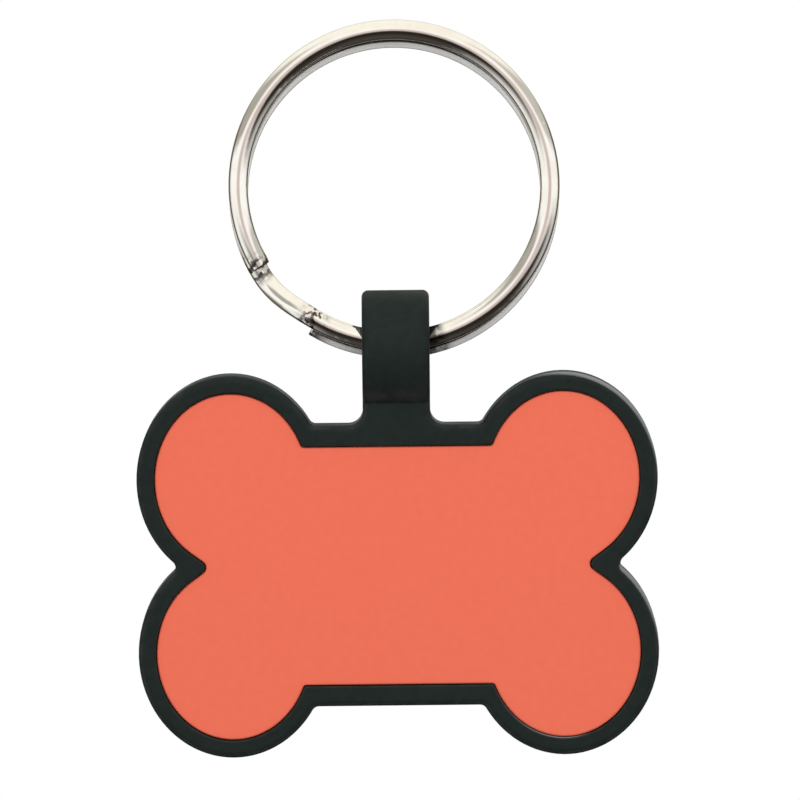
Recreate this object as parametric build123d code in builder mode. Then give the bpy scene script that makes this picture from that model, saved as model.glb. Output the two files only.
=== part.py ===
"""Bone-shaped pet id tag: a two-colour silicone tag that hangs from a split ring.

Millimetres, +Z up, front towards -Y. The origin is the point inside the top of the
split ring from which the whole thing hangs.
"""
import os
from math import acos, asin, atan2, cos, degrees, dist, hypot, radians, sin, sqrt

from build123d import *

# Split ring: one oval wire, wound in two turns
ring_diameter = 25.0  # outside, of each turn
wire_width = 1.5  # from the inside of the ring to its outside
wire_thickness = 1.05  # along the ring's axis
wire_crown_rise = 0.125  # of the crowned faces over the rounded edges' own radius
wire_end_rounding = 0.12  # of the two cut ends
turn_gap = 0.42  # between the two turns
turn_drop = 0.7  # the rear turn hangs this much below the front one
front_end_angle = 211.0  # where the front turn starts, seen from the front
crossover_angle = 27.0  # from there to where the rear turn ends
arcs_per_turn = 3
crossover_sections = 7

# Tag plate: four oval lobes and a straight-edged waist
tag_thickness = 3.2
lobe_width = 14.3
lobe_height = 15.85
lobe_spacing_across = 25.1
lobe_overlap = 2.65  # of the upper lobes and the lower ones
waist_height = 21.35
outline_rounding = 0.55  # in the hollow corners of the outline
edge_rounding = 0.5  # of the plate, the neck and the loop

# Loop on top of the tag
loop_width = 5.1
loop_top_wall = 2.35  # over the bore
loop_side_wall = 1.4  # in front of the bore and behind it
neck_length = 5.65  # from the bore's axis down to the edge of the waist
neck_foot_rounding = 1.1
bore_play = 0.7  # round the two turns of wire
bore_mouth_rounding = 0.35
seat_gap = 0.2  # between the wire and the bore, where the tag hangs

# Coral panel, let into the front of the plate
rim_width = 1.38
rim_waist_width = 1.62
panel_thickness = 0.9
panel_below_rim = 0.25
panel_fit = 0.05  # round the panel's edge
panel_notch_rounding = 0.5  # where its lobes meet at the sides
panel_corner_rounding = 0.2
panel_edge_rounding = 0.15
rim_edge_rounding = 0.15

cut_overrun = 0.5

# Places along the wire
ring_radius = ring_diameter / 2
inner_radius = ring_radius - wire_width
wire_radius = ring_radius - wire_width / 2
ring_centre_z = -inner_radius
layer_offset = (turn_gap + wire_thickness) / 2
rear_end_angle = front_end_angle + crossover_angle
turn_angle = 360 - crossover_angle

# The wire's section: arcs round its edges, tangent to an arc across each face
half_thickness = wire_thickness / 2
edge_radius = half_thickness - wire_crown_rise
edge_offset = wire_width / 2 - edge_radius
crown_radius = (edge_offset**2 + half_thickness**2 - edge_radius**2) / (2 * wire_crown_rise)
crown_offset = crown_radius - half_thickness
crown_share = edge_offset / (crown_radius - edge_radius)
crown_half_width = crown_radius * crown_share
crown_half_height = crown_radius * sqrt(1 - crown_share**2) - crown_offset

# The bore holds both turns, and its roof hangs on the front one
bundle_radius = hypot(layer_offset, turn_drop / 2 + edge_offset) + edge_radius
bore_radius = bundle_radius + bore_play
wire_rise = inner_radius - sqrt(inner_radius**2 - (loop_width / 2) ** 2)
seat_z = ring_centre_z - inner_radius + wire_rise - edge_radius
seat_reach = bore_radius - seat_gap - edge_radius
bore_z = seat_z - sqrt(seat_reach**2 - layer_offset**2)
waist_top_z = bore_z - neck_length
bone_z = waist_top_z - waist_height / 2

# Centre of the upper right lobe, and the notch where its outline meets the lower one's
lobe_x = lobe_spacing_across / 2
lobe_z = (lobe_height - lobe_overlap) / 2
notch_reach = lobe_width / 2 * sqrt(1 - (2 * lobe_z / lobe_height) ** 2)
notch_steepness = notch_reach * lobe_height**2 / (lobe_z * lobe_width**2)
notch_sine_share = notch_steepness / hypot(notch_steepness, 1)
panel_floor = tag_thickness / 2 - panel_below_rim - panel_thickness

bone_plane = Plane((0, 0, bone_z), x_dir=(1, 0, 0), z_dir=(0, -1, 0))
bore_plane = Plane((0, 0, bore_z), x_dir=(0, 1, 0), z_dir=(1, 0, 0))


def wire_centre(angle, layer_share):
    """Centre of the wire at an angle; the share is 0 in the front turn and 1 in the rear one."""
    return Vector(
        wire_radius * cos(radians(angle)),
        layer_offset * (2 * layer_share - 1),
        ring_centre_z - turn_drop * layer_share + wire_radius * sin(radians(angle)),
    )


def wire_section(angle, layer_share, climb):
    """Plane across the wire; climb is how fast the share grows over the crossover."""
    clockwise = Vector(sin(radians(angle)), 0, -cos(radians(angle)))
    along = clockwise * (wire_radius * radians(crossover_angle))
    along += Vector(0, 2 * layer_offset, -turn_drop) * climb
    outward = (cos(radians(angle)), 0, sin(radians(angle)))
    return Plane(wire_centre(angle, layer_share), x_dir=outward, z_dir=along)


def crossover_section(progress):
    """Plane across the wire where it passes from the front turn to the rear one."""
    angle = rear_end_angle - crossover_angle * progress
    layer_share = progress**2 * (3 - 2 * progress)
    return wire_section(angle, layer_share, 6 * progress * (1 - progress))


def wire_profile():
    """Oval of four tangent arcs."""
    with BuildLine() as oval:
        for side in (1, -1):
            ThreePointArc(
                (side * crown_half_width, crown_half_height),
                (side * wire_width / 2, 0),
                (side * crown_half_width, -crown_half_height),
            )
            ThreePointArc(
                (crown_half_width, side * crown_half_height),
                (0, side * half_thickness),
                (-crown_half_width, side * crown_half_height),
            )
    make_face(oval.edges())


def wind_turn(layer_share):
    """Wind one flat turn clockwise from the front end's angle."""
    step = turn_angle / arcs_per_turn
    with BuildLine() as turn:
        for index in range(arcs_per_turn):
            angles = [front_end_angle - step * (index + share) for share in (0, 1 / 2, 1)]
            ThreePointArc(*[wire_centre(angle, layer_share) for angle in angles])
    with BuildSketch(wire_section(front_end_angle, layer_share, 0)) as profile:
        wire_profile()
    sweep(profile.sketch, path=turn.line)


def wire_stations():
    """Planes across the wire, a degree apart, from its front end to its rear one."""
    turn_angles = [front_end_angle - step for step in range(int(turn_angle) + 1)]
    crossover = [crossover_section(step / crossover_angle) for step in range(int(crossover_angle) + 1)]
    front_turn = [wire_section(angle, 0, 0) for angle in turn_angles]
    rear_turn = [wire_section(angle, 1, 0) for angle in turn_angles]
    return front_turn + crossover + rear_turn


def section_points(plane):
    """Points round the wire: the middles and the ends of its arcs."""
    points = []
    for side in (-1, 1):
        points += [(side * wire_width / 2, 0), (0, side * half_thickness)]
        points += [(side * crown_half_width, face * crown_half_height) for face in (-1, 1)]
    return [tuple(plane.from_local_coords(Vector(*point))) for point in points]


def least_turn_gap():
    """Least gap of the wire to itself, between points at least half a turn apart along it."""
    stations = [section_points(plane) for plane in wire_stations()]
    half_turn = 180
    gaps = []
    for index, points in enumerate(stations):
        for other_points in stations[index + half_turn :]:
            if dist(points[0], other_points[0]) < 2 * wire_width:
                gaps += [dist(point, other) for point in points for other in other_points]
    return min(gaps)


def distance_up(corner):
    """Distance of a corner from the middle of its sketch, upwards or downwards."""
    return abs(corner.Y)


def panel_outline(fit):
    """Outline of the panel at the floor of its recess, grown by a fit to give the recess.

    Each lobe runs on in a straight line to the tip of the notch, where the rim has a mitre.
    """
    inset = rim_width - fit
    half_across = lobe_width / 2 - inset
    half_up = lobe_height / 2 - inset
    waist_half = waist_height / 2 - rim_waist_width + fit
    tip_reach = notch_reach - inset / notch_sine_share
    across_share = tip_reach / half_across
    down_share = lobe_z / half_up
    tip_angle = degrees(atan2(down_share, across_share) - acos(1 / hypot(across_share, down_share)))
    waist_angle = 180 - degrees(asin((waist_half - lobe_z) / half_up))
    with BuildSketch(bone_plane.offset(panel_floor)) as outline:
        with BuildLine():
            lobe_arc = tip_angle + waist_angle
            lobe = EllipticalCenterArc(
                (lobe_x, lobe_z), half_across, half_up, -tip_angle, arc_size=lobe_arc
            )
            Line(lobe @ 0, (lobe_x + tip_reach, 0))
            mirror(about=Plane.XZ)
            mirror(about=Plane.YZ)
            waist_end = (lobe @ 1).X
            for side in (-1, 1):
                Line((-waist_end, side * waist_half), (waist_end, side * waist_half))
        make_face()
        fillet(outline.vertices().sort_by(distance_up)[-4:], panel_corner_rounding)
        fillet(outline.vertices().sort_by(distance_up)[:2], panel_notch_rounding)
    return outline.sketch


# Split ring
with BuildPart() as split_ring:
    wind_turn(0)
    for index in range(crossover_sections):
        with BuildSketch(crossover_section(index / (crossover_sections - 1))):
            wire_profile()
    loft()
    wind_turn(1)
    cut_ends = split_ring.faces().filter_by(GeomType.PLANE)
    fillet(cut_ends.edges(), wire_end_rounding)

# Loop: an oval barrel with rounded edges, bored through by the tag body
with BuildPart() as loop_barrel:
    with BuildSketch(bore_plane.offset(-loop_width / 2)):
        Ellipse(bore_radius + loop_side_wall, bore_radius + loop_top_wall)
    extrude(amount=loop_width)
    fillet(loop_barrel.edges().filter_by(GeomType.ELLIPSE), edge_rounding)

# Tag body
with BuildPart() as tag_body:
    with BuildSketch(bone_plane.offset(-tag_thickness / 2)) as outline:
        for side in (-1, 1):
            with Locations((side * lobe_x, lobe_z), (side * lobe_x, -lobe_z)):
                Ellipse(lobe_width / 2, lobe_height / 2, rotation=90 + 90 * side)
        Rectangle(lobe_spacing_across, waist_height)
        fillet(outline.vertices(), outline_rounding)
        with Locations((0, waist_height / 2)):
            Rectangle(loop_width, 2 * neck_length)
        foot_corners = outline.vertices(Select.LAST).group_by(Axis.Y)[0]
        fillet(foot_corners, neck_foot_rounding)
    extrude(amount=tag_thickness)
    plate_faces = tag_body.faces().sort_by(Axis.Y)
    fillet(plate_faces[0].edges() + plate_faces[-1].edges(), edge_rounding)
    add(loop_barrel.part)
    with BuildSketch(bore_plane.offset(-loop_width / 2 - cut_overrun)):
        Circle(bore_radius)
    extrude(amount=loop_width + 2 * cut_overrun, mode=Mode.SUBTRACT)
    fillet(tag_body.edges(Select.LAST).filter_by(GeomType.CIRCLE), bore_mouth_rounding)
    recess_depth = panel_thickness + panel_below_rim
    extrude(panel_outline(panel_fit), amount=recess_depth + cut_overrun, mode=Mode.SUBTRACT)
    fillet(tag_body.edges(Select.LAST).group_by(Axis.Y)[0], rim_edge_rounding)

# Coral panel
with BuildPart() as face_panel:
    extrude(panel_outline(0), amount=panel_thickness)
    fillet(face_panel.faces().sort_by(Axis.Y)[0].edges(), panel_edge_rounding)

os.makedirs("parts", exist_ok=True)
for name, piece in (("split_ring", split_ring), ("tag_body", tag_body), ("face_panel", face_panel)):
    piece.part.label = name
    export_step(piece.part, f"parts/{name}.step")
print(f"least gap between the turns of the ring: {least_turn_gap():.3f} mm")
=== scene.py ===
"""Looks of the bone-shaped pet id tag: its two silicones, its nickel ring, the light and the camera."""
from math import cos, radians, sin

import bmesh
import bpy
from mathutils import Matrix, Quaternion, Vector

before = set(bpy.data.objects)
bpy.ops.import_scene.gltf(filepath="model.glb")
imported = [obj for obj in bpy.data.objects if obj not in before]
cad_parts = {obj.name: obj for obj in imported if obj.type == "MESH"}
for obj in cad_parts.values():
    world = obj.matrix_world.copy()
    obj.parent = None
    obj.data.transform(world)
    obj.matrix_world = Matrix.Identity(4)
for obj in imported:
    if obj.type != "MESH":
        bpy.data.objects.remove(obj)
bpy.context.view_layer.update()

scene = bpy.context.scene
MM = 0.001
WHITE = (1, 1, 1, 1)

# Places of the CAD model that the materials follow, in millimetres and radians
RING_CENTRE_Z = -11.0
WIRE_CENTRE_RADIUS = 11.75
WIRE_END_ANGLES = (radians(211 - 360), radians(238 - 360))
CROSSOVER_ANGLE = radians(224.5 - 360)
LOOP_ANGLE = radians(-90)
PLATE_TOP_Z = -26.0


class Graph:
    """Short-hand for building a node tree."""

    # Sockets of a Mix node when it mixes colours
    MIX_INPUTS = (0, 6, 7)
    MIX_OUTPUT = 2

    def __init__(self, tree):
        tree.nodes.clear()
        self.tree = tree

    def put(self, socket, value):
        """Links a socket to an output, or sets its value."""
        if isinstance(value, bpy.types.NodeSocket):
            self.tree.links.new(value, socket)
        else:
            socket.default_value = value

    def add(self, kind, inputs=None, **settings):
        """Adds a node with its settings and inputs."""
        made = self.tree.nodes.new("ShaderNode" + kind)
        for name, value in settings.items():
            setattr(made, name, value)
        for name, value in (inputs or {}).items():
            self.put(made.inputs[name], value)
        return made

    def math(self, operation, *values):
        """Works out a number from one or two others."""
        made = self.add("Math", operation=operation)
        for socket, value in zip(made.inputs, values):
            self.put(socket, value)
        return made.outputs[0]

    def product(self, first, *others):
        """Multiplies two or more numbers."""
        for other in others:
            first = self.math("MULTIPLY", first, other)
        return first

    def apart(self, first, second):
        """How far two numbers lie apart."""
        return self.math("ABSOLUTE", self.math("SUBTRACT", first, second))

    def ramp(self, value, span, to=(0.0, 1.0)):
        """Maps a span smoothly to two other numbers, held beyond its ends."""
        inputs = {"Value": value, "From Min": span[0], "From Max": span[1], "To Min": to[0], "To Max": to[1]}
        return self.add("MapRange", inputs, interpolation_type="SMOOTHSTEP").outputs[0]

    def fall(self, value, span):
        """Falls smoothly from 1 to 0 over a span."""
        return self.ramp(value, span, (1.0, 0.0))

    def blend(self, share, first, second):
        """Mixes two colours by a share."""
        made = self.add("Mix", data_type="RGBA")
        for index, value in zip(self.MIX_INPUTS, (share, first, second)):
            self.put(made.inputs[index], value)
        return made.outputs[self.MIX_OUTPUT]

    def mix(self, share, first, second):
        """Mixes two shaders by a share."""
        made = self.add("MixShader")
        for socket, value in zip(made.inputs, (share, first, second)):
            self.put(socket, value)
        return made.outputs[0]

    def noise(self, where, scale, detail=3.0):
        """Cloudy noise, about 0.5 on average."""
        inputs = {"Vector": where, "Scale": scale, "Detail": detail}
        return self.add("TexNoise", inputs).outputs[0]

    def axes(self, vector):
        """The three numbers of a vector."""
        return self.add("SeparateXYZ", {"Vector": vector}).outputs

    def millimetres(self):
        """Places on the object, in millimetres."""
        made = self.add("VectorMath", operation="SCALE")
        self.put(made.inputs[0], self.add("TexCoord").outputs["Object"])
        self.put(made.inputs["Scale"], 1 / MM)
        return made.outputs[0]

    def bump(self, height, strength, distance):
        """A normal that follows a height."""
        inputs = {"Height": height, "Strength": strength, "Distance": distance}
        return self.add("Bump", inputs).outputs[0]


def new_material(name):
    """A material with one Principled shader, and what is needed to build on it."""
    material = bpy.data.materials.new(name)
    material.use_nodes = True
    graph = Graph(material.node_tree)
    shader = graph.add("BsdfPrincipled")
    output = graph.add("OutputMaterial", {"Surface": shader.outputs[0]})
    return material, graph, shader, output


# Silicone: noise cells per millimetre, and the part of each noise over which its mark comes in
GRAIN_SCALE = 9.0
MOTTLE_SCALE = 1.6
MOTTLE_NOISE = (0.3, 0.7)
WEAR_SCALE = 0.8
WEAR_NOISE = (0.35, 0.65)
MARKS_SCALE = 0.22
MARKS_NOISE = (0.35, 0.65)
FINE_DETAIL = 4.0

# Silicone: rubbed edges, by how much of the normal points to the front or the back
EDGE_START = (0.35, 0.6)
EDGE_END = (0.8, 0.97)
PLATE_TOP = (PLATE_TOP_Z - 1, PLATE_TOP_Z)
WEAR_SHARES = (0.25, 1.0)
WEAR_POLISH = 0.08

# Silicone: the painted highlight on the upper right edge, by its normal and by its place in millimetres
HIGHLIGHT_TO_RIGHT = 0.6
HIGHLIGHT_TO_TOP = 0.8
HIGHLIGHT_FACING = (0.45, 0.75)
HIGHLIGHT_END = (0.75, 0.95)
HIGHLIGHT_FROM_FRONT = (-1.1, -0.4)
HIGHLIGHT_FROM_RIGHT = (6.0, 13.0)
PAINTED_HIGHLIGHT_COLOUR = (0.21, 0.215, 0.215, 1)

# Silicone: specks of dust, in cells per millimetre and shares of a cell
SPECK_SCALE = 0.55
SPECK_RADIUS = (0.03, 0.06)
SPECK_STRENGTH = 0.35
SPECK_COLOUR = (0.42, 0.40, 0.37, 1)

# Silicone: how far handling marks change the roughness, and the moulded grain
MARKS_ROUGHNESS = 0.06
GRAIN_STRENGTH = 0.25
GRAIN_DEPTH = 0.012 * MM


def silicone(name, colour, mottled, rubbed, roughness, specular, dust, painted_highlight):
    """Moulded silicone: matte grain, soft handling marks, rubbed edges, a few specks of dust and an optional
    painted highlight on the upper right edges.
    """
    material, graph, shader, _ = new_material(name)
    place = graph.millimetres()
    right, back, up = graph.axes(place)
    mottle = graph.noise(place, MOTTLE_SCALE, FINE_DETAIL)
    tinted = graph.blend(graph.ramp(mottle, MOTTLE_NOISE), colour, mottled)

    # The rounded edges of the plate, where it rubs
    to_right, to_back, to_top = graph.axes(graph.add("TexCoord").outputs["Normal"])
    flatness = graph.math("ABSOLUTE", to_back)
    edge = graph.product(
        graph.ramp(flatness, EDGE_START), graph.fall(flatness, EDGE_END), graph.fall(up, PLATE_TOP))
    patches = graph.ramp(graph.noise(place, WEAR_SCALE, FINE_DETAIL), WEAR_NOISE, WEAR_SHARES)
    wear = graph.product(edge, patches)
    tinted = graph.blend(wear, tinted, rubbed)

    # Painted highlight: the front edge of the right-hand lobes is painted paler where it faces up and to the
    # right, toward the light
    if painted_highlight:
        toward_light = graph.math(
            "ADD", graph.product(to_top, HIGHLIGHT_TO_TOP), graph.product(to_right, HIGHLIGHT_TO_RIGHT))
        highlight_share = graph.product(
            graph.ramp(toward_light, HIGHLIGHT_FACING),
            graph.fall(flatness, HIGHLIGHT_END),
            graph.fall(back, HIGHLIGHT_FROM_FRONT),
            graph.ramp(right, HIGHLIGHT_FROM_RIGHT, (0.0, painted_highlight)))
        tinted = graph.blend(highlight_share, tinted, PAINTED_HIGHLIGHT_COLOUR)

    # Specks of dust, in a share of the cells of a Voronoi pattern
    cells = graph.add("TexVoronoi", {"Vector": place, "Scale": SPECK_SCALE}).outputs
    draw = graph.add("SeparateColor", {"Color": cells["Color"]}).outputs[0]
    speck = graph.product(
        graph.fall(cells["Distance"], SPECK_RADIUS),
        graph.math("GREATER_THAN", draw, 1 - dust),
        SPECK_STRENGTH)
    graph.put(shader.inputs["Base Color"], graph.blend(speck, tinted, SPECK_COLOUR))

    spread = (roughness - MARKS_ROUGHNESS, roughness + MARKS_ROUGHNESS)
    handled = graph.ramp(graph.noise(place, MARKS_SCALE), MARKS_NOISE, spread)
    polish = graph.product(wear, WEAR_POLISH)
    graph.put(shader.inputs["Roughness"], graph.math("SUBTRACT", handled, polish))
    shader.inputs["Specular IOR Level"].default_value = specular
    grain = graph.noise(place, GRAIN_SCALE)
    graph.put(shader.inputs["Normal"], graph.bump(grain, GRAIN_STRENGTH, GRAIN_DEPTH))
    return material


# Nickel: colours of the plating, of its marks and of the painted shade on it
NICKEL = (0.97, 0.948, 0.897, 1)
NICKEL_CLOUDED = (0.935, 0.897, 0.822, 1)
SATIN = (0.84, 0.82, 0.79, 1)
SATIN_PALE = (0.98, 0.97, 0.95, 1)
# Dark colour of the painted shade, in the groove between the turns and on the wire beside the loop
PAINTED_SHADE = (0.03, 0.025, 0.02, 1)
BROWNED = (0.08, 0.065, 0.05, 1)

# Nickel: noise cells per radian along the wire and per millimetre, and the parts of the noises that count
SCRATCHES_ALONG = 4.0
SCRATCHES_ACROSS = 22.0
SCRATCHES_BRUSHED = (0.35, 0.65)
SCRATCHES_DEEP = (0.55, 0.75)
CLOUDS_SCALE = 0.7
CLOUDS_COLOUR = (0.35, 0.7)
CLOUDS_DULL = (0.3, 0.75)
BROWNED_SCALE = 2.2
BROWNED_NOISE = (0.44, 0.56)
# Noise that breaks up the painted shade beside the loop
LOOP_SHADE_SCALE = 1.4
LOOP_SHADE_NOISE = (0.40, 0.60)
LOOP_SHADE_SHARES = (0.4, 0.9)

# Nickel: where the marks and the painted shade lie, in radians along the wire and in millimetres across it
BROWNED_REACH = (radians(2), radians(7))
CROSSOVER_REACH = (radians(15), radians(26))
SATIN_START = (0.23, 0.29)
SATIN_END = (0.45, 0.65)
# Painted shade in the groove on the rear turn, along the edge of the front turn
GROOVE_SHADE_REACH = (0.72, 0.92)
GROOVE_SHADE_DEPTH = (0.30, 0.50)
REAR_TURN = (0.0, 0.1)
# Painted shade on the wire beside the loop
LOOP_SHADE_START = (radians(-2), radians(4))
LOOP_SHADE_END = (radians(16), radians(20))

# Nickel: what each mark does to the shader
SATIN_METALLIC = 0.05
DULL_ROUGHNESS = (0.05, 0.11)
SCORED_ROUGHNESS = 0.10
BROWNED_ROUGHNESS = 0.18
SATIN_ROUGHNESS = 0.3
SCRATCHES_STRENGTH = 0.10
SCRATCHES_DEPTH = 0.01 * MM


def nickel():
    """Polished nickel plate: scratches along the wire, clouds, browned ends, satin flanks, and painted shade
    in the groove between the turns and beside the loop.
    """
    material, graph, shader, _ = new_material("nickel_plate")
    place = graph.millimetres()
    right, back, up = graph.axes(place)
    up = graph.math("SUBTRACT", up, RING_CENTRE_Z)
    turn = graph.math("ARCTAN2", up, right)
    reach = graph.math(
        "SQRT", graph.math("ADD", graph.math("POWER", right, 2.0), graph.math("POWER", up, 2.0)))
    along_wire = graph.add("CombineXYZ", {
        "X": graph.product(turn, SCRATCHES_ALONG),
        "Y": graph.product(reach, SCRATCHES_ACROSS),
        "Z": graph.product(back, SCRATCHES_ACROSS),
    })
    scratches = graph.noise(along_wire.outputs[0], 1.0)
    clouds = graph.noise(place, CLOUDS_SCALE)
    tint = graph.blend(graph.ramp(clouds, CLOUDS_COLOUR), NICKEL, NICKEL_CLOUDED)

    # Plating that is rubbed to a pale satin on the flanks of the faces between the two turns
    from_middle = graph.math("ABSOLUTE", back)
    off_crossover = graph.ramp(graph.apart(turn, CROSSOVER_ANGLE), CROSSOVER_REACH)
    satin = graph.product(
        graph.ramp(from_middle, SATIN_START), graph.fall(from_middle, SATIN_END), off_crossover)
    brushed = graph.blend(graph.ramp(scratches, SCRATCHES_BRUSHED), SATIN, SATIN_PALE)
    tint = graph.blend(satin, tint, brushed)

    # Painted shade on the rear turn, in the groove along the edge of the front one
    groove_shade = graph.product(
        graph.fall(graph.apart(reach, WIRE_CENTRE_RADIUS), GROOVE_SHADE_REACH),
        graph.ramp(back, REAR_TURN),
        graph.fall(from_middle, GROOVE_SHADE_DEPTH),
        off_crossover)
    tint = graph.blend(groove_shade, tint, PAINTED_SHADE)

    # Painted shade on the wire where it runs into the loop, at its right
    from_loop = graph.math("SUBTRACT", turn, LOOP_ANGLE)
    loop_shade = graph.product(
        graph.ramp(from_loop, LOOP_SHADE_START),
        graph.fall(from_loop, LOOP_SHADE_END),
        graph.ramp(graph.noise(place, LOOP_SHADE_SCALE), LOOP_SHADE_NOISE, LOOP_SHADE_SHARES))
    tint = graph.blend(loop_shade, tint, PAINTED_SHADE)

    # Plating that is dull and browned near the cut ends of the wire
    near_ends = [graph.fall(graph.apart(turn, angle), BROWNED_REACH) for angle in WIRE_END_ANGLES]
    browned = graph.product(
        graph.math("MAXIMUM", *near_ends),
        graph.ramp(graph.noise(place, BROWNED_SCALE), BROWNED_NOISE))
    graph.put(shader.inputs["Base Color"], graph.blend(browned, tint, BROWNED))

    graph.put(shader.inputs["Metallic"], graph.ramp(satin, (0.0, 1.0), (1.0, SATIN_METALLIC)))
    rough = graph.ramp(clouds, CLOUDS_DULL, DULL_ROUGHNESS)
    for mark, roughness in (
            (graph.ramp(scratches, SCRATCHES_DEEP), SCORED_ROUGHNESS),
            (browned, BROWNED_ROUGHNESS),
            (satin, SATIN_ROUGHNESS)):
        rough = graph.math("ADD", rough, graph.product(mark, roughness))
    graph.put(shader.inputs["Roughness"], rough)
    graph.put(shader.inputs["Normal"], graph.bump(scratches, SCRATCHES_STRENGTH, SCRATCHES_DEPTH))
    return material


def dress(node, material):
    """Gives a CAD node its material."""
    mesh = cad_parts[node].data
    mesh.materials.clear()
    mesh.materials.append(material)


dress("split_ring", nickel())
dress("tag_body", silicone(
    "black_silicone",
    colour=(0.0108, 0.0167, 0.0146, 1),
    mottled=(0.0134, 0.0197, 0.0175, 1),
    rubbed=(0.026, 0.030, 0.029, 1),
    roughness=0.50,
    specular=0.12,
    dust=0.10,
    painted_highlight=0.9,
))
dress("face_panel", silicone(
    "coral_silicone",
    colour=(0.838, 0.158, 0.0925, 1),
    mottled=(0.852, 0.164, 0.0965, 1),
    rubbed=(0.808, 0.156, 0.0945, 1),
    roughness=0.58,
    specular=0.20,
    dust=0.02,
    painted_highlight=0.0,
))

# Floor below the hanging tag
FLOOR_Z = -75.0 * MM
FLOOR_RADIUS = 100.0 * MM
FLOOR_SIDES = 96
FLOOR_FADE = (0.6 * FLOOR_RADIUS, 0.98 * FLOOR_RADIUS)
FLOOR_COLOUR = (0.9, 0.9, 0.9, 1)
FLOOR_ROUGHNESS = 0.9
FLOOR_GLOW = 0.65


def make_floor():
    """White paper that keeps the shadow, fades away towards its rim and is clear from below."""
    mesh = bpy.data.meshes.new("floor")
    disc = bmesh.new()
    bmesh.ops.create_circle(disc, cap_ends=True, segments=FLOOR_SIDES, radius=FLOOR_RADIUS)
    disc.to_mesh(mesh)
    disc.free()
    floor = bpy.data.objects.new("floor", mesh)
    floor.location.z = FLOOR_Z
    floor.visible_glossy = False
    floor.visible_diffuse = False
    scene.collection.objects.link(floor)

    material, graph, paper, output = new_material("floor_paper")
    paper.inputs["Base Color"].default_value = FLOOR_COLOUR
    paper.inputs["Roughness"].default_value = FLOOR_ROUGHNESS
    paper.inputs["Specular IOR Level"].default_value = 0.0
    seen = graph.product(graph.add("LightPath").outputs["Is Camera Ray"], FLOOR_GLOW)
    glow = graph.add("Emission", {"Color": WHITE, "Strength": 1.0})
    lit = graph.mix(seen, paper.outputs[0], glow.outputs[0])
    from_middle = graph.add("VectorMath", operation="LENGTH")
    graph.put(from_middle.inputs[0], graph.add("TexCoord").outputs["Object"])
    fade = graph.ramp(from_middle.outputs["Value"], FLOOR_FADE)
    hidden = graph.math("MAXIMUM", fade, graph.add("NewGeometry").outputs["Backfacing"])
    clear = graph.add("BsdfTransparent")
    graph.put(output.inputs["Surface"], graph.mix(hidden, lit, clear.outputs[0]))
    mesh.materials.append(material)


make_floor()

# Room: its colours, of which only the even one lights matte surfaces
ROOM_EVEN = (0.58, 0.58, 0.58, 1)
ROOM_SKY = (1.0, 0.965, 0.88, 1)
ROOM_CORNERS = (0.42, 0.40, 0.36, 1)
ROOM_FLANKS = (0.13, 0.115, 0.08, 1)
ROOM_STAND = (0.66, 0.55, 0.52, 1)
TABLE_BELOW = (0.060, 0.052, 0.045, 1)
TABLE_AHEAD = (0.020, 0.017, 0.014, 1)

# Room: where things begin and end, as parts of a direction or as angles from the front
SKY_UP = (0.15, 0.6)
CORNERS_BOTTOM = (0.08, 0.22)
CORNERS_TOP = (0.50, 0.70)
CORNERS_ROUND = (radians(14), radians(36))
CORNERS_RIGHT = (-0.1, 0.3)
CORNERS_SHARES = (1.0, 0.75)
FLANKS_START = (radians(62), radians(78))
FLANKS_END = (radians(130), radians(150))
FLANKS_TOP = (0.2, 0.5)
STAND_ROUND = (radians(8), radians(18))
STAND_TOP = (0.0, 0.15)
TABLE_TOP = (-0.30, -0.10)
TABLE_BACK = (0.80, 0.95)
TABLE_MIDDLE = 0.12
TABLE_SIDES = (0.35, 1.05)
TABLE_SHEEN = (-0.95, -0.50)


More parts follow.
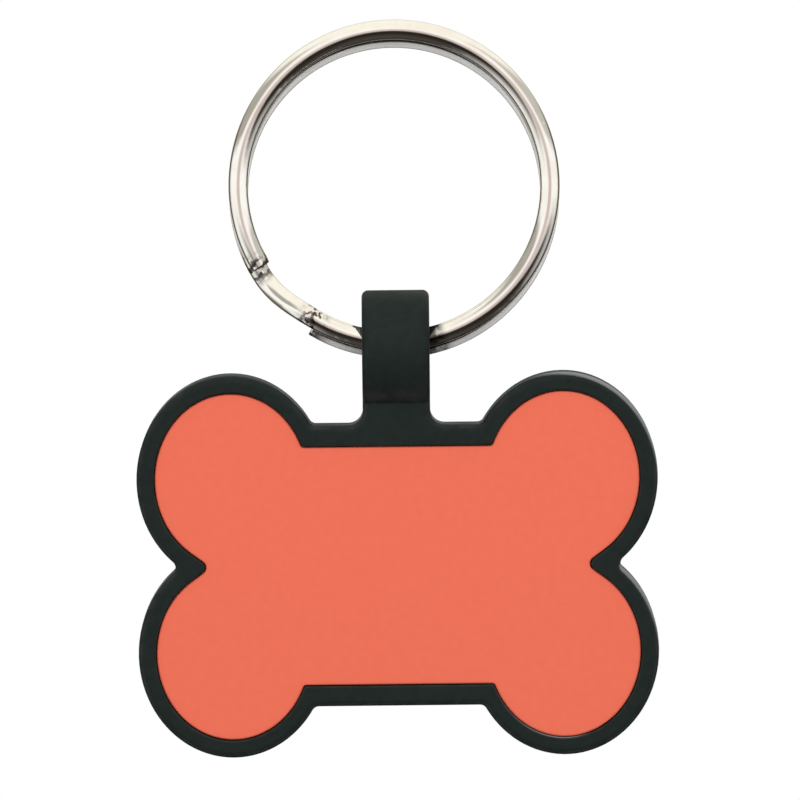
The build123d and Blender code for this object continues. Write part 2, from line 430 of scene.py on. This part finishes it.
def make_world():
    """A white room with grey corners, dim flanks, a stand and a dark table, which only the gloss shows."""
    world = bpy.data.worlds.new("studio")
    world.use_nodes = True
    scene.world = world
    graph = Graph(world.node_tree)
    right, away, up = graph.axes(graph.add("TexCoord").outputs["Generated"])
    toward = graph.product(away, -1.0)
    azimuth = graph.math("ABSOLUTE", graph.math("ARCTAN2", right, toward))

    corners = graph.product(
        graph.ramp(up, CORNERS_BOTTOM),
        graph.fall(up, CORNERS_TOP),
        graph.ramp(azimuth, CORNERS_ROUND),
        graph.ramp(right, CORNERS_RIGHT, CORNERS_SHARES))
    flanks = graph.product(
        graph.ramp(azimuth, FLANKS_START), graph.fall(azimuth, FLANKS_END), graph.fall(up, FLANKS_TOP))
    stand = graph.product(graph.fall(azimuth, STAND_ROUND), graph.fall(up, STAND_TOP))
    table = graph.product(
        graph.fall(up, TABLE_TOP),
        graph.fall(away, TABLE_BACK),
        graph.fall(graph.apart(right, TABLE_MIDDLE), TABLE_SIDES))
    sheen = graph.blend(graph.ramp(up, TABLE_SHEEN), TABLE_BELOW, TABLE_AHEAD)
    room = graph.blend(graph.ramp(up, SKY_UP), WHITE, ROOM_SKY)
    for share, colour in (
            (corners, ROOM_CORNERS), (flanks, ROOM_FLANKS), (stand, ROOM_STAND), (table, sheen)):
        room = graph.blend(share, room, colour)

    # The camera sees white, mirror-like rays see the room, and all others an even light
    path = graph.add("LightPath").outputs
    mirrored = graph.math("MAXIMUM", path["Is Glossy Ray"], path["Is Transmission Ray"])
    colour = graph.blend(mirrored, ROOM_EVEN, room)
    colour = graph.blend(path["Is Camera Ray"], colour, WHITE)
    backdrop = graph.add("Background", {"Color": colour, "Strength": 1.0})
    graph.add("OutputWorld", {"Surface": backdrop.outputs[0]})


make_world()

# Camera of the photograph
CAMERA_AIM = Vector((0.28, 0.0, -27.3)) * MM
CAMERA_DISTANCE = 0.6
CAMERA_ELEVATION = radians(5.0)
CAMERA_ROLL = radians(-0.6)
FRAME_WIDTH = 60.5 * MM
SENSOR_WIDTH = 36.0

# Square soft lamps: places and size in metres, power in watts
LAMP_SIZE = 0.30
LAMPS = {
    "key": {"place": (0.22, -0.50, 0.30), "power": 1.3},
    "fill": {"place": (-0.25, -0.50, 0.32), "power": 1.3},
    "rim": {"place": (0.20, 0.34, 0.26), "power": 1.4},
}


def make_lamp(name, place, power):
    """A soft lamp that points at the tag and doesn't show in the ring."""
    light = bpy.data.lights.new(name, "AREA")
    light.shape = "SQUARE"
    light.size = LAMP_SIZE
    light.energy = power
    lamp = bpy.data.objects.new(name, light)
    lamp.location = place
    lamp.visible_glossy = False
    lamp.rotation_euler = (CAMERA_AIM - lamp.location).to_track_quat("-Z", "Y").to_euler()
    scene.collection.objects.link(lamp)


for lamp_name, lamp_facts in LAMPS.items():
    make_lamp(lamp_name, **lamp_facts)


def make_camera():
    """A long lens in front of the tag, a little above it and rolled as in the photograph."""
    lens = bpy.data.cameras.new("camera")
    lens.sensor_width = SENSOR_WIDTH
    lens.lens = SENSOR_WIDTH * CAMERA_DISTANCE / FRAME_WIDTH
    camera = bpy.data.objects.new("camera", lens)
    toward_camera = Vector((0, -cos(CAMERA_ELEVATION), sin(CAMERA_ELEVATION)))
    camera.location = CAMERA_AIM + toward_camera * CAMERA_DISTANCE
    level = (-toward_camera).to_track_quat("-Z", "Y")
    camera.rotation_euler = (level @ Quaternion((0, 0, 1), CAMERA_ROLL)).to_euler()
    scene.collection.objects.link(camera)
    scene.camera = camera


make_camera()
scene.view_settings.view_transform = "Standard"
